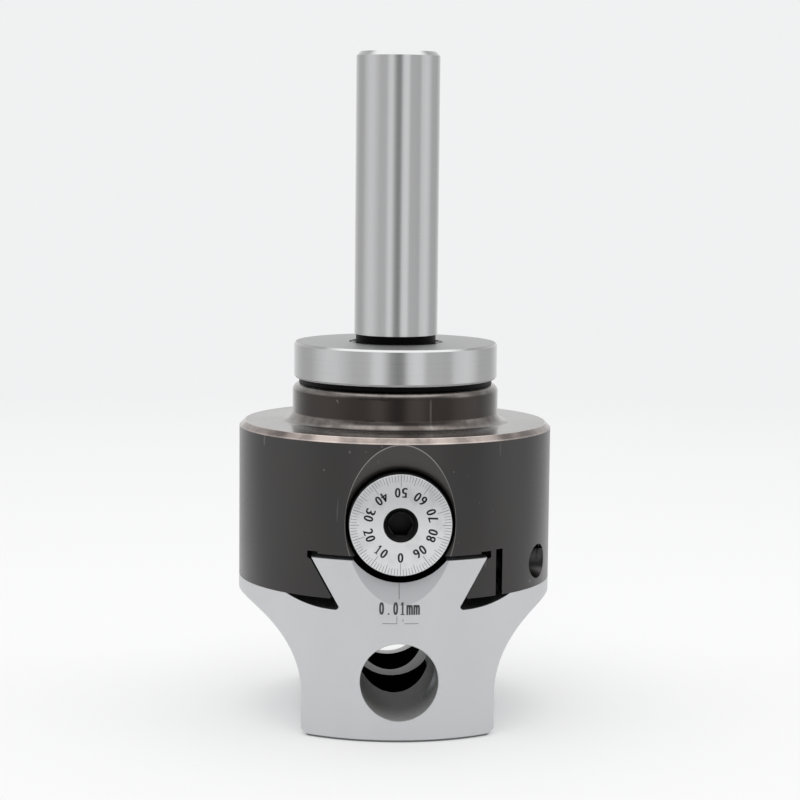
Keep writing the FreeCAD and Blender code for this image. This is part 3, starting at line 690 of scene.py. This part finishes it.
def thread_coil(name, along, start):
    """Thread left free in a side hole past the set screw's full reach, cut off at the round surface."""
    clear_selection()
    flank = THREAD_PITCH * 0.42
    bpy.ops.mesh.primitive_circle_add(vertices=3, radius=flank, location=(0, SCREW_HOLE_R, 0))
    coil = bpy.context.object
    coil.rotation_euler = (math.pi / 2, 0, math.pi / 2)
    settle()
    bpy.ops.object.mode_set(mode="EDIT")
    bpy.ops.mesh.select_all(action="SELECT")
    bpy.ops.mesh.edge_face_add()
    bpy.ops.mesh.delete(type="ONLY_FACE")
    bpy.ops.object.mode_set(mode="OBJECT")
    wind = coil.modifiers.new("wind", "SCREW")
    wind.axis = "X"
    wind.angle = math.tau * THREAD_TURNS
    wind.screw_offset = THREAD_PITCH * THREAD_TURNS
    wind.steps = THREAD_STEPS * THREAD_TURNS
    wind.render_steps = THREAD_STEPS * THREAD_TURNS
    wind.use_merge_vertices = False
    bpy.ops.object.modifier_apply(modifier="wind")
    coil.location = (start, along, GIB_SCREW_HEIGHT)
    settle()
    bpy.ops.object.mode_set(mode="EDIT")
    bpy.ops.mesh.select_all(action="SELECT")
    bpy.ops.mesh.fill_holes(sides=4)
    bpy.ops.mesh.select_all(action="SELECT")
    bpy.ops.mesh.normals_make_consistent(inside=False)
    bpy.ops.object.mode_set(mode="OBJECT")
    clear_selection()
    middle = (0, 0, GIB_SCREW_HEIGHT)
    bpy.ops.mesh.primitive_cylinder_add(vertices=256, radius=BODY_R - 0.0002, depth=0.03, location=middle)
    limit = bpy.context.object
    trim = coil.modifiers.new("trim", "BOOLEAN")
    trim.operation = "INTERSECT"
    trim.object = limit
    trim.solver = "EXACT"
    clear_selection()
    coil.select_set(True)
    bpy.context.view_layer.objects.active = coil
    bpy.ops.object.modifier_apply(modifier="trim")
    bpy.data.objects.remove(limit)
    coil.name = name
    finish_piece(coil, "head", THREAD)


def side_threads():
    """Free thread in the two gib screw holes and the lock screw's."""
    for name, along, node in (
        ("gib_thread_front", -GIB_SCREW_PITCH, "gib_screw_front"),
        ("gib_thread_rear", GIB_SCREW_PITCH, "gib_screw_rear"),
        ("lock_thread", 0.0, "slide_lock_screw"),
    ):
        screw_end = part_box(node)[1].x
        thread_coil(name, along, screw_end + SCREW_REACH + THREAD_PITCH * 0.45)


# ---------------------------------------------------------------- stage

STRIPS = [  # tent brightness round the object, by angle in degrees from the camera's side, left negative
    (-180, 0.95), (-150, 0.85), (-130, 0.72), (-112, 0.76), (-98, 1.0), (-85, 1.16), (-72, 1.14),
    (-60, 0.98), (-50, 0.84), (-38, 0.84), (-32, 0.9), (-26, 1.2), (-18, 1.24), (-12, 0.9), (-7, 0.58),
    (0, 0.42), (6, 0.5), (12, 1.12), (18, 1.26), (27, 1.24), (33, 0.84), (48, 0.82), (60, 0.78),
    (68, 1.1), (84, 1.2), (94, 1.08), (106, 0.78), (130, 0.7), (150, 0.85), (180, 0.95),
]
BACKGROUND = (0.875, 0.878, 0.885)


def strips(tent, x, y):
    """Brightness of the tent's wall towards a point or direction."""
    turn = tent.math("ARCTAN2", x, -1.0 * y) / math.tau + 0.5
    return tent.ramp(turn, [(angle / 360 + 0.5, bright) for angle, bright in STRIPS])


def studio_world():
    """A white tent with soft upright strips, open and dim above the camera, and lit from the top."""
    world = bpy.data.worlds.new("studio")
    bpy.context.scene.world = world
    tent = Finish(world)
    x, y, z = tent.parts(tent.node("ShaderNodeTexCoord", output=0))
    wall = strips(tent, x, y)
    front = tent.fade(-1.0 * y, 0.25, 0.6)
    raised = tent.fade(z, 0.16, 0.3)
    dim = tent.mix(front * raised * 0.75, wall, (0.12, 0.12, 0.12))
    dome = tent.mix(tent.fade(z, 0.7, 0.84), dim, (1.9, 1.9, 1.88))
    camera_ray = tent.rays("Is Camera Ray")[0]
    seen = tent.mix(camera_ray, dome, BACKGROUND)
    light = tent.node("ShaderNodeBackground", None, {0: seen, 1: 1.0})
    tent.node("ShaderNodeOutputWorld", None, {0: light})


LAMPS = ((26, -20, 0.35), (80, -8, 0.45))  # tilt from overhead, lean to the side, energy


def studio_lamps():
    """Two broad soft lamps: one overhead to the left, one low beside the camera."""
    for tilt, lean, energy in LAMPS:
        bpy.ops.object.light_add(type="SUN", location=(-0.3, -0.4, 0.9))
        lamp = bpy.context.object
        lamp.rotation_euler = Euler((math.radians(tilt), 0, math.radians(lean)))
        lamp.data.energy = energy
        lamp.data.angle = math.radians(50)
        lamp.visible_glossy = False


def studio_floor():
    """A plain pale floor that keeps the object's shadow and runs into the tent's wall."""
    bpy.ops.mesh.primitive_plane_add(size=40, location=(0, 0, FLOOR_HEIGHT - 2 * HAIR))
    floor = bpy.context.object
    floor.name = "floor"
    paint = new_finish("floor_paint")
    camera_ray, glossy_ray, clear_ray = paint.rays("Is Camera Ray", "Is Glossy Ray", "Is Transmission Ray")
    x, y = paint.parts(paint.place())[:2]
    reach = radius_about(paint, x, y)
    far = paint.fade(reach, 0.15, 0.4)
    shown = paint.mix(glossy_ray * far, BACKGROUND, strips(paint, x, y))
    seen = camera_ray * (paint.fade(reach, 0.1, 0.7) * 0.65 + 0.35)
    direct = paint.math("MINIMUM", seen + clear_ray + glossy_ray * (far * 0.6 + 0.4), 1.0)
    matt = paint.node("ShaderNodeBsdfDiffuse", None, {0: (0.77, 0.77, 0.773, 1)})
    glow = paint.node("ShaderNodeEmission", None, {0: shown, 1: 1.0})
    blend = paint.node("ShaderNodeMixShader", None, {0: direct, 1: matt, 2: glow})
    paint.node("ShaderNodeOutputMaterial", None, {0: blend})
    floor.data.materials.append(paint.owner)


def studio_camera():
    """Long lens, level with the shank's lower half and looking slightly down."""
    azimuth, pitch, roll = (math.radians(angle) for angle in (-2.436, 6.359, 0.566))
    reach, height = 0.56124, 0.13743
    bpy.ops.object.camera_add(location=(math.sin(azimuth) * reach, -math.cos(azimuth) * reach, height))
    camera = bpy.context.object
    turn = Euler((0, 0, azimuth)).to_matrix() @ Euler((math.pi / 2 - pitch, 0, 0)).to_matrix()
    camera.rotation_euler = (turn @ Euler((0, 0, roll)).to_matrix()).to_euler()
    camera.data.sensor_width = 36
    camera.data.lens = 105.18
    camera.data.shift_x = 0.0061
    bpy.context.scene.camera = camera


dress_nodes()
dial_marks()
slide_marks()
side_threads()
studio_world()
studio_lamps()
studio_floor()
studio_camera()
bpy.context.scene.view_settings.view_transform = "Standard"
